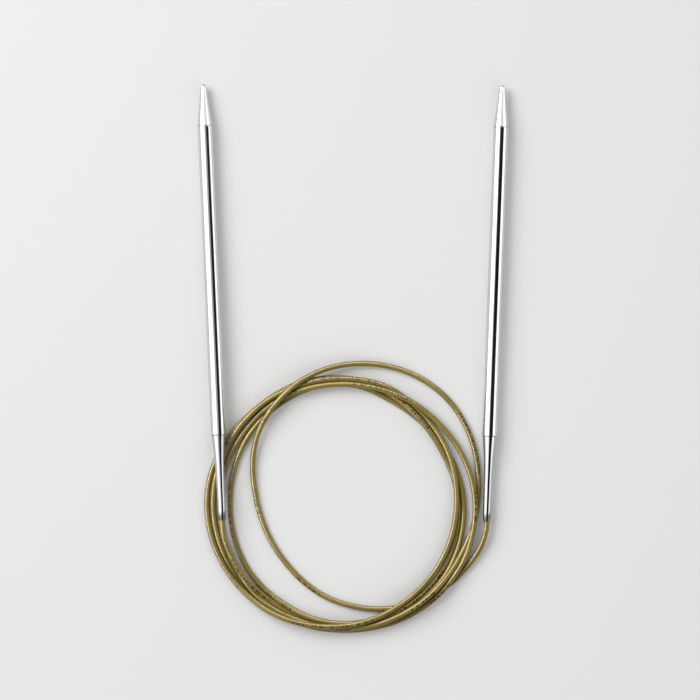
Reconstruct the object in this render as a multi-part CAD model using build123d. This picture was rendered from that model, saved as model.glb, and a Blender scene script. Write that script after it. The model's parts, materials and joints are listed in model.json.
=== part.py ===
"""Circular knitting needle: two plated 4.5 mm needles on one long nylon cord, lying wound on a table.

Frame, in millimetres: +Z up from the table, +Y along the needles towards their points, +X to the
right. The origin is on the table, under the middle of the two needles' common box.

Each needle is built along its own axis, from the mouth of its neck (0) to its point, and then placed.
The cord leaves each mouth, bends freely over a short lead, and joins the loose coil between them.
"""
import os
from math import cos, hypot, pi, radians, sin, tan
from build123d import *

# ---- driving dimensions -------------------------------------------------------------------------
NEEDLE_DIAMETER = 4.5
NEEDLE_LENGTH = 129.4          # mouth of the neck to the tip
POINT_LENGTH = 12.5            # the cone alone
NECK_LENGTH = 25.4             # mouth to the seam with the shaft
TUBE_WALL = 0.5
CORD_DIAMETER = 1.6

TIP_RADIUS = 0.85              # the point is blunt enough not to prick
EDGE_BREAK = 0.06              # chamfer on each side of a seam
POINT_SPIGOT_LENGTH = 8.0
NECK_SPIGOT_LENGTH = 6.0
SPIGOT_CHAMFER = 0.5

# outside of the neck: distance from the mouth, radius
NECK_CURVE = (
    (0.0, 1.0), (1.2, 1.08), (2.6, 1.17), (6.0, 1.2), (11.7, 1.26), (16.2, 1.37), (19.6, 1.58),
    (22.1, 1.79), (25.4, 2.12),
)
CORD_BORE_CLEARANCE = 0.05
STOP_CHAMBER_START = 20.0      # the bore opens here for the stop on the cord's end
STOP_CHAMBER_RADIUS = 1.2
STOP_LENGTH = 6.0
STOP_RADIUS = 1.1
STOP_WAIST = 1.0               # radius where the sleeve is crimped
STOP_BAND = 2.2                # full radius at each end of the sleeve
STOP_BEVEL = 0.2
MOUTH_LIP = 0.1

# ---- where things lie ---------------------------------------------------------------------------
LEFT_MOUTH = (-38.77, -64.4, 4.4)      # raised: this neck lies across the coil
RIGHT_MOUTH = (39.58, -64.8, NEEDLE_DIAMETER / 2)
LEFT_LEAN = 2.5                        # degrees that each point leans outwards
RIGHT_LEAN = 2.1

STUB_LENGTH = 3.0                      # cord outside the mouth, as far as the lifting axis
LEFT_SWING_POINT = (-35.4, -76.7, 4.1)     # the middle of the second bend of each lead
RIGHT_SWING_POINT = (35.6, -76.2, 1.2)
LEFT_RUN_END = (-27.6, -86.9, 1.5)         # inside the coil
RIGHT_RUN_END = (27.2, -85.6, 0.85)
BEND_GAP = 1.0                         # from a bend's centre to the end of the next length of cord
BEND_SHARE = 0.45                      # of the shorter length beside a bend, given to the bend

# ---- the coil: radii about its middle, every 45 degrees from +X, anticlockwise --------------------
COIL_CENTRE = (-3.0, -58.0)
FLOOR_TURNS_OUTSIDE = (40.3, 43.3, 40.7, 37.7, 41.2, 40.9, 40.1, 40.9)
FLOOR_TURNS_INSIDE = (33.0, 31.3, 31.2, 31.4, 24.9, 24.7, 30.6, 34.2)
UPPER_TURNS_OUTSIDE = (39.6, 36.6, 36.4, 37.5, 38.0, 40.2, 39.9, 40.0)
UPPER_TURNS_INSIDE = (33.6, 32.4, 32.5, 33.0, 36.2, 36.0, 37.0, 34.9)
FLOOR_TURNS_TOP = CORD_DIAMETER
UPPER_TURNS_TOP = 1.5 * CORD_DIAMETER      # turns nest half a diameter into the gaps below
CROSSING_TOP = 2.7 * CORD_DIAMETER         # where the turns change places, nearest the user
CROSSING_EDGE_Y = -84.0
SIDE_LENGTH = 100.0                        # a cube on the near side of that edge: holds all of the heap

SHAFT_RADIUS = NEEDLE_DIAMETER / 2
TUBE_BORE = SHAFT_RADIUS - TUBE_WALL
CORD_RADIUS = CORD_DIAMETER / 2
CONE_BASE = NEEDLE_LENGTH - POINT_LENGTH


# ---- one needle, along Z from its mouth -----------------------------------------------------------
def turned(outline):
    """The solid of revolution of a closed (radius, height) outline about Z."""
    corners = [(radius, 0, height) for radius, height in outline]
    return revolve(make_face(Polyline(*corners, close=True)), Axis.Z)


def shaft_tube():
    """Drawn tube from the neck's seam to the cone, with both outer edges broken."""
    low, high = NECK_LENGTH, CONE_BASE
    return turned([
        (TUBE_BORE, low),
        (SHAFT_RADIUS - EDGE_BREAK, low),
        (SHAFT_RADIUS, low + EDGE_BREAK),
        (SHAFT_RADIUS, high - EDGE_BREAK),
        (SHAFT_RADIUS - EDGE_BREAK, high),
        (TUBE_BORE, high),
    ])


def point():
    """Solid cone with a rounded tip, and a spigot pressed into the front of the tube."""
    slope = (SHAFT_RADIUS - TIP_RADIUS) / (POINT_LENGTH - TIP_RADIUS)
    tangent_z = NEEDLE_LENGTH - TIP_RADIUS * (1 - slope / hypot(1, slope))
    tangent_r = TIP_RADIUS / hypot(1, slope)
    side = Polyline(
        (tangent_r, 0, tangent_z),
        (SHAFT_RADIUS, 0, CONE_BASE + EDGE_BREAK),
        (SHAFT_RADIUS - EDGE_BREAK, 0, CONE_BASE),
        (TUBE_BORE, 0, CONE_BASE),
        (TUBE_BORE, 0, CONE_BASE - POINT_SPIGOT_LENGTH + SPIGOT_CHAMFER),
        (TUBE_BORE - SPIGOT_CHAMFER, 0, CONE_BASE - POINT_SPIGOT_LENGTH),
        (0, 0, CONE_BASE - POINT_SPIGOT_LENGTH),
        (0, 0, NEEDLE_LENGTH),
    )
    bulge = TIP_RADIUS * cos(pi / 4)
    tip = ThreePointArc(
        (0, 0, NEEDLE_LENGTH),
        (bulge, 0, NEEDLE_LENGTH - TIP_RADIUS + bulge),
        (tangent_r, 0, tangent_z),
    )
    return revolve(make_face([side, tip]), Axis.Z)


def neck():
    """Tapered neck: thin where the cord leaves, flared to the shaft, with a spigot in the tube."""
    top = NECK_LENGTH + NECK_SPIGOT_LENGTH
    bore = CORD_RADIUS + CORD_BORE_CLEARANCE
    first_radius = NECK_CURVE[0][1]
    last_radius = NECK_CURVE[-1][1]
    flare = [(radius, 0, height) for height, radius in ((MOUTH_LIP, first_radius),) + NECK_CURVE[1:]]
    outside = Spline(*flare)
    rest = Polyline(
        (last_radius, 0, NECK_LENGTH),
        (TUBE_BORE, 0, NECK_LENGTH),
        (TUBE_BORE, 0, top),
        (STOP_CHAMBER_RADIUS, 0, top),
        (STOP_CHAMBER_RADIUS, 0, STOP_CHAMBER_START),
        (bore, 0, STOP_CHAMBER_START),
        (bore, 0, MOUTH_LIP / 2),
        (bore + MOUTH_LIP / 2, 0, 0),
        (first_radius - MOUTH_LIP / 2, 0, 0),
        (first_radius, 0, MOUTH_LIP),
    )
    return revolve(make_face([outside, rest]), Axis.Z)


def cord_stop():
    """Crimped sleeve on the cord's end: it can't pass the narrow bore, so the cord can't pull out."""
    low = STOP_CHAMBER_START
    high = low + STOP_LENGTH
    return turned([
        (CORD_RADIUS, low),
        (STOP_RADIUS, low),
        (STOP_RADIUS, low + STOP_BAND),
        (STOP_WAIST, low + STOP_BAND + STOP_BEVEL),
        (STOP_WAIST, high - STOP_BAND - STOP_BEVEL),
        (STOP_RADIUS, high - STOP_BAND),
        (STOP_RADIUS, high),
        (CORD_RADIUS, high),
    ])


def rod(length):
    """A straight length of cord, up Z from the origin."""
    return Cylinder(CORD_RADIUS, length, align=(Align.CENTER, Align.CENTER, Align.MIN))


def cord_end():
    """The cord's last length: from the bend outside the mouth to the far end of its stop."""
    length = STUB_LENGTH + STOP_CHAMBER_START + STOP_LENGTH
    return Pos(0, 0, -STUB_LENGTH) * (rod(length) + Sphere(CORD_RADIUS))


# ---- placing --------------------------------------------------------------------------------------
def axis_of(mouth, lean_to_the_right):
    """Unit vector from a mouth to its needle's tip; the cone's base rests on the table."""
    drop = (mouth[2] - SHAFT_RADIUS) / CONE_BASE
    level = (1 - drop * drop) ** 0.5
    lean = radians(lean_to_the_right)
    return Vector(sin(lean) * level, cos(lean) * level, -drop)


def place_on(origin, direction):
    return Plane(origin=Vector(*origin), z_dir=direction).location


def straight_cord(start, end, cut_start, cut_end, round_end):
    """A straight length of cord between two bends, short of each bend by its cut."""
    path = Vector(*end) - Vector(*start)
    length = Pos(0, 0, cut_start) * rod(path.length - cut_start - cut_end)
    if round_end:
        length += Pos(0, 0, path.length) * Sphere(CORD_RADIUS)
    return place_on(start, path.normalized()) * length


def bend_radius(before, corner, after, room):
    """The radius of the cord's bend at a corner of its route, where it takes that room on each side."""
    turn = (Vector(*corner) - Vector(*before)).get_angle(Vector(*after) - Vector(*corner))
    return round(room / tan(radians(turn / 2)), 1)


# ---- the coil -------------------------------------------------------------------------------------
def loop_face(radii):
    """The face inside a smooth closed loop through eight radii about the coil's middle."""
    step = 2 * pi / len(radii)
    points = [
        (COIL_CENTRE[0] + r * cos(k * step), COIL_CENTRE[1] + r * sin(k * step))
        for k, r in enumerate(radii)
    ]
    return make_face(Spline(*points, periodic=True))


def layer(outside, inside, top):
    return extrude(loop_face(outside), top) - extrude(loop_face(inside), top)


def coil():
    """The outer shape of the wound cord: a floor of turns, more nested on it, a heap where they cross."""
    floor_turns = layer(FLOOR_TURNS_OUTSIDE, FLOOR_TURNS_INSIDE, FLOOR_TURNS_TOP)
    upper_turns = layer(UPPER_TURNS_OUTSIDE, UPPER_TURNS_INSIDE, UPPER_TURNS_TOP)
    heap = layer(UPPER_TURNS_OUTSIDE, UPPER_TURNS_INSIDE, CROSSING_TOP)
    near_side = Pos(0, CROSSING_EDGE_Y - SIDE_LENGTH / 2, 0) * Box(SIDE_LENGTH, SIDE_LENGTH, SIDE_LENGTH)
    heap &= near_side
    return floor_turns + upper_turns + heap


# ---- the whole object -----------------------------------------------------------------------------
def needle(side, mouth, lean):
    """The five pieces of one needle, by node name."""
    place = place_on(mouth, axis_of(mouth, lean))
    return {
        f"{side}_shaft_tube": place * shaft_tube(),
        f"{side}_point": place * point(),
        f"{side}_neck": place * neck(),
        f"{side}_cord_stop": place * cord_stop(),
        f"{side}_cord_end": place * cord_end(),
    }


def lead(side, mouth, lean, swing_point, run_end):
    """The cord between one mouth and the coil: a length that bends with the needle, then a still one."""
    lift_point = tuple(Vector(*mouth) - axis_of(mouth, lean) * STUB_LENGTH)
    lead_length = (Vector(*swing_point) - Vector(*lift_point)).length
    lift_radius = bend_radius(mouth, lift_point, swing_point, STUB_LENGTH)
    swing_radius = bend_radius(lift_point, swing_point, run_end, BEND_SHARE * lead_length)
    print(side, "cord: bend radius at the lifting axis", lift_radius, "and at the swinging axis", swing_radius)
    bending = straight_cord(lift_point, swing_point, BEND_GAP, 0, True)
    still = straight_cord(swing_point, run_end, BEND_GAP, 0, False)
    return {f"{side}_cord_lead": bending, f"{side}_cord_run": still}


def model():
    nodes = {}
    nodes.update(needle("left", LEFT_MOUTH, -LEFT_LEAN))
    nodes.update(needle("right", RIGHT_MOUTH, RIGHT_LEAN))
    nodes.update(lead("left", LEFT_MOUTH, -LEFT_LEAN, LEFT_SWING_POINT, LEFT_RUN_END))
    nodes.update(lead("right", RIGHT_MOUTH, RIGHT_LEAN, RIGHT_SWING_POINT, RIGHT_RUN_END))
    nodes["cord_coil"] = coil()
    return nodes


os.makedirs("parts", exist_ok=True)
for name, shape in model().items():
    export_step(shape, f"parts/{name}.step")
    print(name, "volume", round(shape.volume, 2))
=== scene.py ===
"""A circular knitting needle: two plated 4.5 mm needles and one 1.6 mm nylon cord in a loose coil.

Lengths are in millimetres up to the calls that make meshes, which take metres. Each needle is turned
about its own axis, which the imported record's mounts give. The cord is one line: a bend out of each
needle, and a coil whose turns settle on the table and on each other.
"""
import json
import math

import bpy
import numpy as np
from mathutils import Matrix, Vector

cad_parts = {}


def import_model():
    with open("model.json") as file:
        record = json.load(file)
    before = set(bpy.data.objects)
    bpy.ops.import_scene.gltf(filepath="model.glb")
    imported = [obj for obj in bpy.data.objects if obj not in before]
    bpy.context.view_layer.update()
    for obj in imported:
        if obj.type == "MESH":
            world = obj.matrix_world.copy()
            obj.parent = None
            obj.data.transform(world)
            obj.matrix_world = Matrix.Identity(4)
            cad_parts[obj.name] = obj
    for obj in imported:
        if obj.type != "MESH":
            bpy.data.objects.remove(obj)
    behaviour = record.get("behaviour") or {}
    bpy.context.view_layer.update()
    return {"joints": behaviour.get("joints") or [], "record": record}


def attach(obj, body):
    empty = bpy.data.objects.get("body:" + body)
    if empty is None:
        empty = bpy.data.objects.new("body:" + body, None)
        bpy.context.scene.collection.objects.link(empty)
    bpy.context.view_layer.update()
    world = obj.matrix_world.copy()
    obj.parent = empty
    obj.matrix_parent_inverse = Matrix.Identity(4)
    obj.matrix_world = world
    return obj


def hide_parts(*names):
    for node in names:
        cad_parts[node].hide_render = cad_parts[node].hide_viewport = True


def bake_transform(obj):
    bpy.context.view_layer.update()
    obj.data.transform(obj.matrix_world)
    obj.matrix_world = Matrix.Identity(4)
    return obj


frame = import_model()

MM = 0.001
MOUNTS = {mount["name"]: mount for mount in frame["record"]["mounts"]}
JOINTS = {joint["name"]: joint for joint in frame["joints"]}

# ---- one needle, in millimetres from the mouth of its neck ------------------------------------------
NECK_LENGTH = 25.4
POINT_LENGTH = 12.5
NEEDLE_LENGTH = 129.4
CONE_BASE = NEEDLE_LENGTH - POINT_LENGTH
SHAFT_RADIUS = 2.25
TUBE_BORE = 1.75
TIP_RADIUS = 0.85
EDGE_RADIUS = 0.06             # the rounding of the tube's and the cone's edges
END_RING = 0.4                 # how far from an edge an extra ring lies
POINT_SPIGOT_LENGTH = 8.0
NECK_SPIGOT_LENGTH = 6.0
# The neck's outside: distance from the mouth, and radius.
NECK_CURVE = ((0.0, 1.0), (0.6, 1.04), (1.2, 1.08), (1.9, 1.13), (2.6, 1.17), (3.6, 1.185), (6.0, 1.2),
              (9.0, 1.225), (11.7, 1.26), (14.2, 1.31), (16.2, 1.37), (18.0, 1.47), (19.6, 1.58),
              (22.1, 1.79), (24.0, 1.97), (25.4, 2.12))
CORD_BORE = 0.85
STOP_CHAMBER_START, STOP_CHAMBER_RADIUS = 20.0, 1.2
STOP_LENGTH, STOP_RADIUS, STOP_WAIST = 6.0, 1.1, 1.0
STAIN_LENGTH = 2.3             # dark traces of the glue and the crimp, from the mouth
STAIN_DARKNESS = 0.9           # 0 is clean plating, and 1 the stain's own colour
SEAM_SHADE_WIDTH = 0.25              # the painted shade line where a neck or a point meets the tube
# How dark the painted shade is at the seam of a neck and at the seam of a point.
NECK_SEAM_SHADE = 0.6
POINT_SEAM_SHADE = 0.4
LATHE_SIDES = 128
SHARP_DEGREES = 35             # faces that meet at more than this aren't smoothed together

# ---- the cord ---------------------------------------------------------------------------------------
CORD_DIAMETER = 1.6
CORD_SIDES = 24
CORD_DEPTHS = (19.0, 12.0, 6.0, 2.5)   # where its line is fixed inside a neck, from the mouth
UV_PER_MM = 0.1                # its texture runs in centimetres
COIL_CENTRE = (-3.0, -58.0)
STEP_DEGREES = 5
FIRST_DEGREES = 215
LAST_DEGREES = 2115
# The radius of each turn, and how high it starts before it settles, in layers: which turn lies on
# which. Both are given every 45 degrees anticlockwise from 180.
TABLE_START, TABLE_STEP = 180, 45
TURN_RADII = (
    (35.8, 37.8, 37.7, 38.3, 35.3, 32.6, 34.2, 33.9),
    (33.5, 35.7, 37.5, 37.1, 34.5, 32.7, 35.7, 37.0),
    (40.4, 40.2, 37.8, 35.1, 33.7, 34.2, 35.4, 37.1),
    (38.6, 39.2, 38.8, 39.9, 39.1, 35.6, 34.0, 34.9),
    (36.6, 38.2, 38.6, 38.6, 40.2, 42.8, 39.6, 33.0),
    (25.8, 25.4, 31.3, 39.6, 43.7),
)
TURN_LAYERS = (
    (2, 2, 2, 2, 2, 1, 1, 1),
    (3, 4, 5, 5, 4, 3, 3, 3),
    (3.2, 6, 7, 7, 7, 4.5, 4.5, 4.5),
    (3, 1, 1, 2.5, 5, 5.5, 5.5, 5.5),
    (5, 3, 3, 3, 3, 7, 7, 7),
    (7, 0, 0, 0, 0),
)
# The cord between each mouth and the coil, from the mouth on. The lifting axis is at the second point,
# and the swinging one at the fourth.
LEFT_ROUTE = ((-38.77, -64.4, 4.4), (-38.64, -67.4, 4.455), (-37.9, -71.1, 4.37), (-35.4, -76.7, 4.1))
RIGHT_ROUTE = ((39.58, -64.8, 2.25), (39.47, -67.8, 2.25), (38.05, -72.2, 1.75), (35.6, -76.2, 1.2),
               (32.3, -80.1, 0.95), (29.0, -83.4, 0.8))
LEFT_COIL_HEIGHT = 3.85
SWING_REACH = 4.4              # how far each side of a swinging axis its cuts are placed
LIFT_REACH = 3.0


# ---- meshes -----------------------------------------------------------------------------------------
def new_mesh(name, vertices, faces):
    """A smooth-shaded object from points in metres."""
    mesh = bpy.data.meshes.new(name)
    mesh.from_pydata([tuple(v) for v in vertices], [], faces)
    mesh.validate()
    mesh.shade_smooth()
    piece = bpy.data.objects.new(name, mesh)
    bpy.context.scene.collection.objects.link(piece)
    return piece


def soften(piece):
    """Smooth shading, but not over a sharp edge."""
    piece.data.set_sharp_from_angle(angle=math.radians(SHARP_DEGREES))


def basis(direction):
    """Two unit vectors across a direction that isn't vertical, and a third along it."""
    z = np.array(direction, float)
    z /= np.linalg.norm(z)
    x = np.cross((0.0, 0.0, 1.0), z)
    x /= np.linalg.norm(x)
    return x, np.cross(z, x), z


def round_corner(before, corner, after, radius, steps=5):
    """Points round one corner of an outline, or the corner itself where a side is too short."""
    corner = np.array(corner, float)
    sides = [np.array(end, float) - corner for end in (before, after)]
    lengths = [np.linalg.norm(side) for side in sides]
    if min(lengths) < 2 * radius:
        return [tuple(corner)]
    start, end = (corner + side / length * radius for side, length in zip(sides, lengths))
    shares = np.linspace(0, 1, steps)
    return [tuple((1 - s) ** 2 * start + 2 * s * (1 - s) * corner + s * s * end) for s in shares]


def rounded(outline, radius):
    """A closed outline with its corners rounded off."""
    made = []
    for before, corner, after in zip(outline[-1:] + outline[:-1], outline, outline[1:] + outline[:1]):
        made += round_corner(before, corner, after, radius)
    return made


def lathe(name, outline, origin, direction, closed=True):
    """Turns an outline of (radius, distance from the mouth) about a needle's axis. The outline runs
    round the section; where it isn't closed, its two ends lie on the axis."""
    x, y, z = basis(direction)
    origin = np.array(origin, float)
    angles = np.arange(LATHE_SIDES) * 2 * math.pi / LATHE_SIDES
    around = np.outer(np.cos(angles), x) + np.outer(np.sin(angles), y)
    vertices, rings = [], []
    for radius, along in outline:
        centre = origin + z * along
        if radius == 0:
            rings.append([len(vertices)] * LATHE_SIDES)
            vertices.append(centre * MM)
            continue
        rings.append(list(range(len(vertices), len(vertices) + LATHE_SIDES)))
        vertices.extend((centre + around * radius) * MM)
    faces = []
    following = rings[1:] + rings[:1] if closed else rings[1:]
    for low, high in zip(rings, following):
        for k in range(LATHE_SIDES):
            n = (k + 1) % LATHE_SIDES
            face = [low[k], low[n], high[n], high[k]]
            face = [v for i, v in enumerate(face) if v not in face[:i]]
            if len(face) > 2:
                faces.append(face)
    return new_mesh(name, vertices, faces)


def line_of(controls):
    """Points along the smooth line that the controls shape, in their units."""
    curve = bpy.data.curves.new("route", "CURVE")
    curve.dimensions = "3D"
    curve.resolution_u = 4
    spline = curve.splines.new("NURBS")
    spline.points.add(len(controls) - 1)
    for point, place in zip(spline.points, controls):
        point.co = (*place, 1)
    spline.order_u = 3
    spline.use_endpoint_u = True
    carrier = bpy.data.objects.new("route", curve)
    mesh = bpy.data.meshes.new_from_object(carrier)
    points = np.array([v.co for v in mesh.vertices], float)
    bpy.data.meshes.remove(mesh)
    bpy.data.objects.remove(carrier)
    bpy.data.curves.remove(curve)
    return points


def tube(name, points, tangents, along, side):
    """A closed tube of the cord's diameter round a line, with a distance along the cord and an angle
    round it as its UV. side is where the first ring's first point lies; the last ring's comes back."""
    angles = np.arange(CORD_SIDES) * 2 * math.pi / CORD_SIDES
    vertices = []
    for point, tangent in zip(points, tangents):
        side = side - tangent * (side @ tangent)
        side /= np.linalg.norm(side)
        up = np.cross(tangent, side)
        around = np.outer(np.cos(angles), side) + np.outer(np.sin(angles), up)
        vertices.extend((point + CORD_DIAMETER / 2 * around) * MM)
    faces = []
    for k in range(len(points) - 1):
        for a in range(CORD_SIDES):
            b = (a + 1) % CORD_SIDES
            low, high = k * CORD_SIDES, (k + 1) * CORD_SIDES
            faces.append((low + a, low + b, high + b, high + a))
    faces.append(tuple(range(CORD_SIDES))[::-1])
    last = (len(points) - 1) * CORD_SIDES
    faces.append(tuple(last + a for a in range(CORD_SIDES)))
    piece = new_mesh(name, vertices, faces)
    soften(piece)
    layer = piece.data.uv_layers.new(name="cord")
    for face in piece.data.polygons:
        indices = [piece.data.loops[i].vertex_index for i in face.loop_indices]
        seam = {0, CORD_SIDES - 1} <= {v % CORD_SIDES for v in indices}
        for loop, vertex in zip(face.loop_indices, indices):
            turn = vertex % CORD_SIDES
            if seam and turn == 0:
                turn = CORD_SIDES
            layer.data[loop].uv = (along[vertex // CORD_SIDES] * UV_PER_MM, turn / CORD_SIDES)
    return piece, side


# ---- the coil's line --------------------------------------------------------------------------------
def between(values, place):
    """A smooth curve through evenly spaced values, at any place along them."""
    k = int(math.floor(place))
    f = place - k
    a, b, c, d = (values[min(max(k + n, 0), len(values) - 1)] for n in (-1, 0, 1, 2))
    return 0.5 * (2 * b + (c - a) * f + (2 * a - 5 * b + 4 * c - d) * f ** 2
                  + (3 * b - a - 3 * c + d) * f ** 3)


def settled_coil(rounds=3000, spring=0.05, fall=0.008, partings=4, push=0.4, layer=0.55):
    """The coil's points. The turns fall a little each round, part where they would overlap, and
    spring back towards the radii that they are laid at. A layer's height is given in diameters."""
    degrees = np.arange(FIRST_DEGREES, LAST_DEGREES + 1, STEP_DEGREES)
    places = (degrees - TABLE_START) / TABLE_STEP
    radii = [r for turn in TURN_RADII for r in turn]
    layers = [s for turn in TURN_LAYERS for s in turn]
    laid = np.array([between(radii, place) for place in places])
    radius = laid.copy()
    floor = CORD_DIAMETER / 2
    height = floor + CORD_DIAMETER * layer * np.interp(places, range(len(layers)), layers)
    turn = 360 // STEP_DEGREES
    pairs = [(i, j) for i in range(len(laid)) for j in range(i + turn, len(laid), turn)]
    low, high = np.array(pairs).T
    for _ in range(rounds):
        moved = radius - laid
        for values in (moved, height):
            values[1:-1] = 0.25 * values[:-2] + 0.5 * values[1:-1] + 0.25 * values[2:]
        radius = laid + moved * (1 - spring)
        height = np.maximum(height - fall, floor)
        height[0] = LEFT_COIL_HEIGHT
        for _ in range(partings):
            across = radius[high] - radius[low]
            above = height[high] - height[low]
            apart = np.maximum(np.hypot(across, above), 1e-6)     # never 0, to divide by
            part = np.where(apart < CORD_DIAMETER, push * (CORD_DIAMETER - apart) / apart, 0)
            for values, gap in ((radius, across), (height, above)):
                np.add.at(values, high, gap * part)
                np.add.at(values, low, -gap * part)
            height = np.maximum(height, floor)
    angles = np.radians(degrees)
    return np.stack([COIL_CENTRE[0] + radius * np.cos(angles),
                     COIL_CENTRE[1] + radius * np.sin(angles), height], axis=1)


# ---- materials --------------------------------------------------------------------------------------
class Nodes:
    """A material's node tree, with short calls for what these materials need."""

    def __init__(self, name):
        self.material = bpy.data.materials.new(name)
        self.material.use_nodes = True
        self.tree = self.material.node_tree
        self.shader = self.tree.nodes["Principled BSDF"]

    def add(self, kind, **settings):
        node = self.tree.nodes.new(kind)
        for key, value in settings.items():
            setattr(node, key, value)
        return node

    def link(self, output, socket):
        self.tree.links.new(output, socket)

    def noise(self, vector, scale, detail=4.0, stretch=(1, 1, 1)):
        mapping = self.add("ShaderNodeMapping")
        mapping.inputs["Scale"].default_value = stretch
        self.link(vector, mapping.inputs["Vector"])
        node = self.add("ShaderNodeTexNoise")
        node.inputs["Scale"].default_value = scale
        node.inputs["Detail"].default_value = detail
        self.link(mapping.outputs["Vector"], node.inputs["Vector"])
        return node.outputs["Fac"]

    def ramp(self, value, stops):
        node = self.add("ShaderNodeValToRGB")
        elements = node.color_ramp.elements
        while len(elements) < len(stops):
            elements.new(0.5)
        for element, (place, color) in zip(elements, stops):
            element.position = place
            element.color = (*color, 1)
        self.link(value, node.inputs["Fac"])
        return node.outputs["Color"]

    def range(self, value, low, high):
        node = self.add("ShaderNodeMapRange")
        node.inputs["To Min"].default_value = low
        node.inputs["To Max"].default_value = high
        self.link(value, node.inputs["Value"])
        return node.outputs["Result"]

    def math(self, operation, a, b=0.0):
        node = self.add("ShaderNodeMath", operation=operation)
        for socket, value in zip(node.inputs, (a, b)):
            if isinstance(value, (int, float)):
                socket.default_value = value
            else:
                self.link(value, socket)
        return node.outputs["Value"]

    def mix(self, factor, a, b):
        node = self.add("ShaderNodeMix", data_type="RGBA")
        self.link(factor, node.inputs["Factor"])
        for socket, value in ((node.inputs[6], a), (node.inputs[7], b)):
            if isinstance(value, tuple):
                socket.default_value = (*value, 1)
            else:
                self.link(value, socket)
        return node.outputs[2]

    def bump(self, height, strength, distance):
        node = self.add("ShaderNodeBump")
        node.inputs["Strength"].default_value = strength
        node.inputs["Distance"].default_value = distance
        self.link(height, node.inputs["Height"])
        self.link(node.outputs["Normal"], self.shader.inputs["Normal"])


def nickel(name, tone):
    """Polished nickel plate: drawing lines along the needle, a slight haze, and the piece's stain and
    painted seam shade.
    """
    hazy_tone = tuple(0.94 * c for c in tone)
    stain_and_shade_color = (0.10, 0.085, 0.065)
    n = Nodes(name)
    n.shader.inputs["Metallic"].default_value = 1.0
    place = n.add("ShaderNodeTexCoord").outputs["Object"]
    lines = n.noise(place, 900, 3, (1, 0.012, 1))
    haze = n.noise(place, 160, 3, (1, 0.35, 1))
    n.link(n.range(haze, 0.07, 0.15), n.shader.inputs["Roughness"])
    # The stain and the painted seam shade, which darken the plating towards one colour.
    darkness = n.add("ShaderNodeAttribute", attribute_name="stain_and_seam_shade").outputs["Fac"]
    clean = n.ramp(haze, ((0.3, hazy_tone), (0.7, tone)))
    n.link(n.mix(darkness, clean, stain_and_shade_color), n.shader.inputs["Base Color"])
    n.bump(lines, 0.06, 0.00002)
    return n.material


def brass():
    """Brass as it comes from the crimping pliers: dull and a little uneven."""
    dull, bright = (0.60, 0.42, 0.17), (0.78, 0.60, 0.30)
    n = Nodes("stop_brass")
    n.shader.inputs["Metallic"].default_value = 1.0
    place = n.add("ShaderNodeTexCoord").outputs["Object"]
    haze = n.noise(place, 700)
    n.link(n.range(haze, 0.25, 0.45), n.shader.inputs["Roughness"])
    n.link(n.ramp(haze, ((0.3, dull), (0.7, bright))), n.shader.inputs["Base Color"])
    n.bump(haze, 0.1, 0.00003)
    return n.material


def nylon():
    """Glossy olive-gold nylon: mottled along its length, with fine drawn lines and worn dashes."""
    olives = (0.060, 0.043, 0.008), (0.082, 0.061, 0.012)
    golds = (0.092, 0.065, 0.012), (0.122, 0.090, 0.019)
    ink = (0.012, 0.009, 0.005)
    warm_gloss = (1.0, 0.90, 0.60, 1)
    n = Nodes("cord_nylon")
    n.shader.inputs["IOR"].default_value = 1.55
    n.shader.inputs["Specular Tint"].default_value = warm_gloss
    n.shader.inputs["Coat Weight"].default_value = 0.22
    n.shader.inputs["Coat Roughness"].default_value = 0.16
    place = n.add("ShaderNodeUVMap", uv_map="cord").outputs["UV"]
    slow = n.noise(place, 1.3, 3, (1, 0.6, 1))
    mottle = n.noise(place, 5, 3, (0.8, 0.7, 1))
    fine = n.noise(place, 60, 4, (0.12, 1, 1))
    olive, gold = (n.ramp(slow, ((0.3, dark), (0.7, light))) for dark, light in (olives, golds))
    body = n.mix(n.range(mottle, 0.1, 0.9), olive, gold)
    n.link(n.mix(dashes(n, place, slow), body, ink), n.shader.inputs["Base Color"])
    n.link(n.range(mottle, 0.20, 0.30), n.shader.inputs["Roughness"])
    n.bump(fine, 0.08, 0.00003)
    return n.material


def dashes(n, place, slow):
    """Up to 1 on a row of short uneven marks down one side of the cord, on a few stretches of it."""
    side, half_width = 0.3, 0.07       # of a whole turn round the cord
    mark_level, row_level = 0.5, 0.54  # the noise above which there is a mark, and a row of them
    axes = n.add("ShaderNodeSeparateXYZ")
    n.link(place, axes.inputs["Vector"])
    beat = n.noise(place, 9, 1, (1, 0.01, 1))
    mark = n.math("GREATER_THAN", beat, mark_level)
    off_row = n.math("ABSOLUTE", n.math("SUBTRACT", axes.outputs["Y"], side))
    row = n.math("LESS_THAN", off_row, half_width)
    stretch = n.math("GREATER_THAN", n.noise(place, 0.35, 0, (1, 0.01, 1)), row_level)
    worn = n.range(slow, 0.7, 1.0)
    return n.math("MULTIPLY", n.math("MULTIPLY", mark, row), n.math("MULTIPLY", stretch, worn))


# ---- the needles ------------------------------------------------------------------------------------
def shaft_outline():
    """The tube's wall. A ring near each end keeps the rounded edges out of the long faces' shading."""
    low, high = NECK_LENGTH, CONE_BASE
    corners = [(TUBE_BORE, low), (SHAFT_RADIUS, low), (SHAFT_RADIUS, low + END_RING),
               (SHAFT_RADIUS, high - END_RING), (SHAFT_RADIUS, high), (TUBE_BORE, high)]
    return rounded(corners, EDGE_RADIUS)


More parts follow.
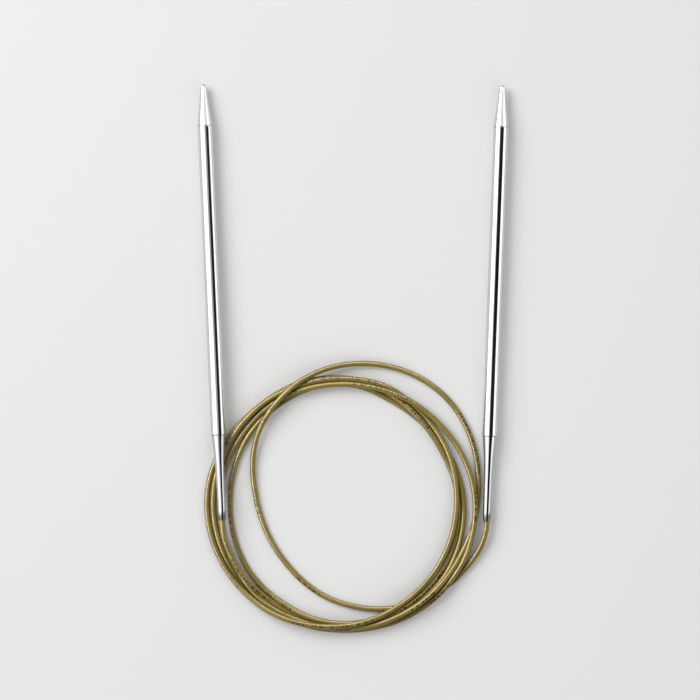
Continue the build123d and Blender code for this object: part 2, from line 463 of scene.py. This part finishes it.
def point_outline():
    """The spigot, the edge on the tube, and the cone with its blunt tip, from axis to axis."""
    slope = math.atan2(SHAFT_RADIUS - TIP_RADIUS, POINT_LENGTH - TIP_RADIUS)
    centre = NEEDLE_LENGTH - TIP_RADIUS
    tip = [(TIP_RADIUS * math.cos(a), centre + TIP_RADIUS * math.sin(a))
           for a in np.linspace(math.pi / 2, slope, 10)]
    tip[0] = (0.0, NEEDLE_LENGTH)      # exactly on the axis
    top_radius, top = tip[-1]
    # A ring below the tip keeps its curve out of the cone's shading, and two bound the seam's painted
    # shade.
    cone = []
    for along in (top - END_RING, CONE_BASE + 1.4 * SEAM_SHADE_WIDTH, CONE_BASE + 0.8 * SEAM_SHADE_WIDTH):
        share = (top - along) / (top - CONE_BASE)
        cone.append((top_radius + share * (SHAFT_RADIUS - top_radius), along))
    edge = round_corner(tip[-1], (SHAFT_RADIUS, CONE_BASE), (TUBE_BORE, CONE_BASE), EDGE_RADIUS)
    spigot = CONE_BASE - POINT_SPIGOT_LENGTH
    chamfer = 0.5
    end = [(0.0, spigot), (TUBE_BORE - chamfer, spigot), (TUBE_BORE, spigot + chamfer)]
    return end + [(TUBE_BORE, CONE_BASE)] + edge[::-1] + cone[::-1] + tip[::-1]


def neck_outline():
    """The neck's wall: its outside up to the seam, the spigot, and the bore back to the mouth."""
    distances, radii = zip(*NECK_CURVE)
    mouth, last = radii[0], radii[-1]
    top = NECK_LENGTH + NECK_SPIGOT_LENGTH
    bevel = 0.03                       # at the bore's edge
    lip = 0.07                         # the rounding of the mouth
    first_ring, ring_step = 0.15, 0.1
    outline = [(CORD_BORE + bevel, 0.0), (mouth - lip, 0.0)]
    outline += [(mouth - lip + lip * math.sin(a), lip - lip * math.cos(a))
                for a in np.linspace(0.3, math.pi / 2, 5)]
    outline += [(float(np.interp(along, distances, radii)), along)
                for along in np.arange(first_ring, NECK_LENGTH - 2 * bevel, ring_step)]
    outline += [(last - 0.02, NECK_LENGTH - bevel), (last - 0.08, NECK_LENGTH)]     # the seam's step
    outline += [(TUBE_BORE, NECK_LENGTH), (TUBE_BORE, top), (STOP_CHAMBER_RADIUS, top)]
    outline += [(STOP_CHAMBER_RADIUS, STOP_CHAMBER_START), (CORD_BORE, STOP_CHAMBER_START)]
    return outline + [(CORD_BORE, 2 * bevel)]


def stop_outline():
    """The crimped sleeve: a band at each end, and a waist between them."""
    low, high = STOP_CHAMBER_START, STOP_CHAMBER_START + STOP_LENGTH
    inside = CORD_DIAMETER / 2
    band, waist = 2.2, 2.5             # how far from an end the band stops, and the waist starts
    corners = [(inside, low), (STOP_RADIUS, low), (STOP_RADIUS, low + band), (STOP_WAIST, low + waist),
               (STOP_WAIST, high - waist), (STOP_RADIUS, high - band), (STOP_RADIUS, high),
               (inside, high)]
    return rounded(corners, radius=0.08)


def neck_stain_and_seam_shade(along, turn, radius):
    """Dark traces in the bore and, unevenly, on the last millimetres before the mouth; and painted
    shade at the seam.
    """
    lean, wave, fade = 0.7, 0.15, 0.25
    edge = STAIN_LENGTH - lean * math.cos(turn - 0.4) + wave * math.sin(5 * turn)
    bore_edge = CORD_BORE + 0.04
    if radius < bore_edge:
        return STAIN_DARKNESS
    # Painted shade along the seam with the tube.
    if along > NECK_LENGTH - SEAM_SHADE_WIDTH:
        return NECK_SEAM_SHADE
    return STAIN_DARKNESS / (1 + math.exp((along - edge) / fade))


def point_seam_shade(along, turn, radius):
    """Painted shade at the seam alone."""
    return POINT_SEAM_SHADE if along < CONE_BASE + SEAM_SHADE_WIDTH else 0.0


def stain_and_seam_shade(piece, mouth, axis, amount):
    """Puts on each point of a piece how dark its stain and painted shade are, by its place on the
    needle.
    """
    across, up, _ = (Vector(v) for v in basis(axis))
    values = []
    for vertex in piece.data.vertices:
        offset = Vector(vertex.co) / MM - mouth
        along = offset.dot(axis)
        turn = math.atan2(offset.dot(up), offset.dot(across))
        values.append(amount(along, turn, (offset - axis * along).length))
    layer = piece.data.attributes.new("stain_and_seam_shade", "FLOAT", "POINT")
    layer.data.foreach_set("value", values)


def needle(side, materials):
    """The turned pieces of one needle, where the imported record's mount has its shaft."""
    mount = MOUNTS[f"{side}_shaft"]
    axis = Vector(mount["axis"]).normalized()
    mouth = Vector(mount["pos_m"]) / MM - axis * (NECK_LENGTH + CONE_BASE) / 2
    body = f"{side}_needle"
    made = {}
    for part, node, outline, closed in (
        ("shaft", "shaft_tube", shaft_outline(), True),
        ("point", "point", point_outline(), False),
        ("neck", "neck", neck_outline(), True),
        ("cord_stop", "cord_stop", stop_outline(), True),
    ):
        piece = lathe(f"{side}_{part}_turned", outline, mouth, axis, closed)
        soften(piece)
        piece.data.materials.append(materials[part])
        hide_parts(f"{side}_{node}")
        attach(piece, body)
        made[part] = piece
    # The neck's stain and painted seam shade, and the point's painted seam shade.
    stain_and_seam_shade(made["neck"], mouth, axis, neck_stain_and_seam_shade)
    stain_and_seam_shade(made["point"], mouth, axis, point_seam_shade)
    return mouth, axis


TUBE_TONE = (0.72, 0.72, 0.73)
NECK_TONE = (0.57, 0.57, 0.59)
FINISHES = {
    "shaft": nickel("plated_shaft", TUBE_TONE),
    "point": nickel("plated_point", TUBE_TONE),
    "neck": nickel("plated_neck", NECK_TONE),
    "cord_stop": brass(),
}
left_mouth, left_axis = needle("left", FINISHES)
right_mouth, right_axis = needle("right", FINISHES)


# ---- the cord's pieces ------------------------------------------------------------------------------
def inside_the_neck(mouth, axis):
    """Points from the stop's far end down the bore to just inside the mouth."""
    depths = (STOP_CHAMBER_START + STOP_LENGTH, *CORD_DEPTHS)
    return [tuple(mouth + axis * depth) for depth in depths]


def whole_route():
    """The points that shape the cord, from stop to stop."""
    left = inside_the_neck(left_mouth, left_axis) + list(LEFT_ROUTE)
    right = inside_the_neck(right_mouth, right_axis) + list(RIGHT_ROUTE)
    return np.array(left + [tuple(point) for point in settled_coil()] + right[::-1], float)


def cord_pieces():
    """One line, cut into the coil, which lies still, and two pieces at each end."""
    line = line_of(whole_route())
    tangents = np.gradient(line, axis=0)
    tangents /= np.linalg.norm(tangents, axis=1)[:, None]
    along = np.concatenate([[0], np.cumsum(np.linalg.norm(np.diff(line, axis=0), axis=1))])

    def stations(joint, reach):
        """The line's places before and after a joint's axis, a reach away from it."""
        pivot = np.array(JOINTS[joint]["pos_m"]) / MM
        middle = along[np.argmin(np.linalg.norm(line - pivot, axis=1))]
        return [int(np.argmin(np.abs(along - middle - s))) for s in (-reach, reach)]

    needle_left, lead_start_left = stations("left_lift", LIFT_REACH)
    lead_end_left, coil_left = stations("left_swing", SWING_REACH)
    coil_right, lead_end_right = stations("right_swing", SWING_REACH)
    lead_start_right, needle_right = stations("right_lift", LIFT_REACH)
    cut_left = (lead_start_left + lead_end_left) // 2
    cut_right = (lead_end_right + lead_start_right) // 2
    cuts = {
        "left_end": (0, cut_left),
        "left_bend": (cut_left, coil_left),
        "wound": (coil_left, coil_right),
        "right_bend": (coil_right, cut_right),
        "right_end": (cut_right, len(line) - 1),
    }
    material = nylon()
    side = np.array((1.0, 0.0, 0.0))
    made = {}
    for name, (first, last) in cuts.items():
        stretch = slice(first, last + 1)
        made[name], side = tube(f"cord_{name}", line[stretch], tangents[stretch], along[stretch], side)
        made[name].data.materials.append(material)
    for hand, needle_end, lead_start, lead_end, coil_end in (
        ("left", needle_left, lead_start_left, lead_end_left, coil_left),
        ("right", needle_right, lead_start_right, lead_end_right, coil_right),
    ):
        end, bend = made[f"{hand}_end"], made[f"{hand}_bend"]
        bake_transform(end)
        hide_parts(f"{hand}_cord_end")
        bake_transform(bend)
        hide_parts(f"{hand}_cord_lead")
    pieces = list(made.values())
    wound = made.pop("wound")
    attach(wound, "coil")
    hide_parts("cord_coil", "left_cord_run", "right_cord_run")
    return pieces


cord = cord_pieces()


# ---- the studio -------------------------------------------------------------------------------------
def rectangle(name, low, high, height, color, roughness):
    """A level sheet of the studio, in metres."""
    corners = [(low[0], low[1], height), (high[0], low[1], height),
               (high[0], high[1], height), (low[0], high[1], height)]
    sheet = new_mesh(name, corners, [(0, 1, 2, 3)])
    n = Nodes(name)
    n.shader.inputs["Base Color"].default_value = (color, color, color, 1)
    n.shader.inputs["Roughness"].default_value = roughness
    n.shader.inputs["Specular IOR Level"].default_value = 0.0
    sheet.data.materials.append(n.material)
    return sheet


def softbox(name, place, size, power, polish_only=False):
    """An area light that faces the object. One for the polish alone is seen only in reflections."""
    aim = Vector((0, -0.02, 0))
    data = bpy.data.lights.new(name, "AREA")
    data.shape = "RECTANGLE"
    data.size, data.size_y = size
    data.energy = power
    light = bpy.data.objects.new(name, data)
    light.location = place
    light.rotation_euler = (aim - Vector(place)).to_track_quat("-Z", "Y").to_euler()
    light.visible_diffuse = not polish_only
    bpy.context.scene.collection.objects.link(light)
    return light


def camera():
    """Looks straight down; the view is view_width wide where it meets the table."""
    view_centre, view_width, distance, sensor = (-0.0009, -0.014), 0.2079, 1.3, 36
    data = bpy.data.cameras.new("camera")
    data.sensor_width = sensor
    data.lens = sensor * distance / view_width
    eye = bpy.data.objects.new("camera", data)
    eye.location = (*view_centre, distance)
    bpy.context.scene.collection.objects.link(eye)
    bpy.context.scene.camera = eye


def world():
    """An even white surround, and colors shown as they are."""
    sky = bpy.data.worlds.new("studio")
    sky.use_nodes = True
    background = sky.node_tree.nodes["Background"]
    background.inputs["Color"].default_value = (1, 1, 1, 1)
    background.inputs["Strength"].default_value = 0.5
    bpy.context.scene.world = sky
    bpy.context.scene.view_settings.view_transform = "Standard"


rectangle("floor", (-3, -3), (3, 3), 0.0, 0.78, 0.9)
# A dark sheet above the object, which only reflections see: it gives the plating the dark line that
# shows its roundness.
flag = rectangle("flag", (0.015, -0.5), (0.30, 0.115), 0.25, 0.01, 1.0)
flag.visible_camera = False
flag.visible_diffuse = False
flag.visible_shadow = False
flag.visible_transmission = False
camera()
world()
softbox("key_softbox", (-0.75, 0.52, 0.80), (0.8, 0.8), 11.0)
softbox("fill_softbox", (0.60, -0.65, 0.60), (1.0, 1.0), 2.5)
softbox("left_softbox", (-0.50, 0.0, 0.48), (0.9, 0.9), 3.4, polish_only=True)
softbox("right_softbox", (0.70, 0.0, 0.40), (0.9, 0.7), 2.2, polish_only=True)
softbox("far_softbox", (0.12, 0.40, 0.60), (0.6, 0.5), 0.5, polish_only=True)
# Two narrow strips, on the left and at the far side, that light the cord alone: they draw the bright
# line along its turns, and would burn out the plating.
cord_only = bpy.data.collections.new("lit_by_strips")
for piece in cord:
    cord_only.objects.link(piece)
for name, place in (("left_strip", (-0.50, 0.0, 0.46)), ("far_strip", (0.0, 0.50, 0.46))):
    strip = softbox(name, place, (0.8, 0.12), 8.0)
    strip.light_linking.receiver_collection = cord_only
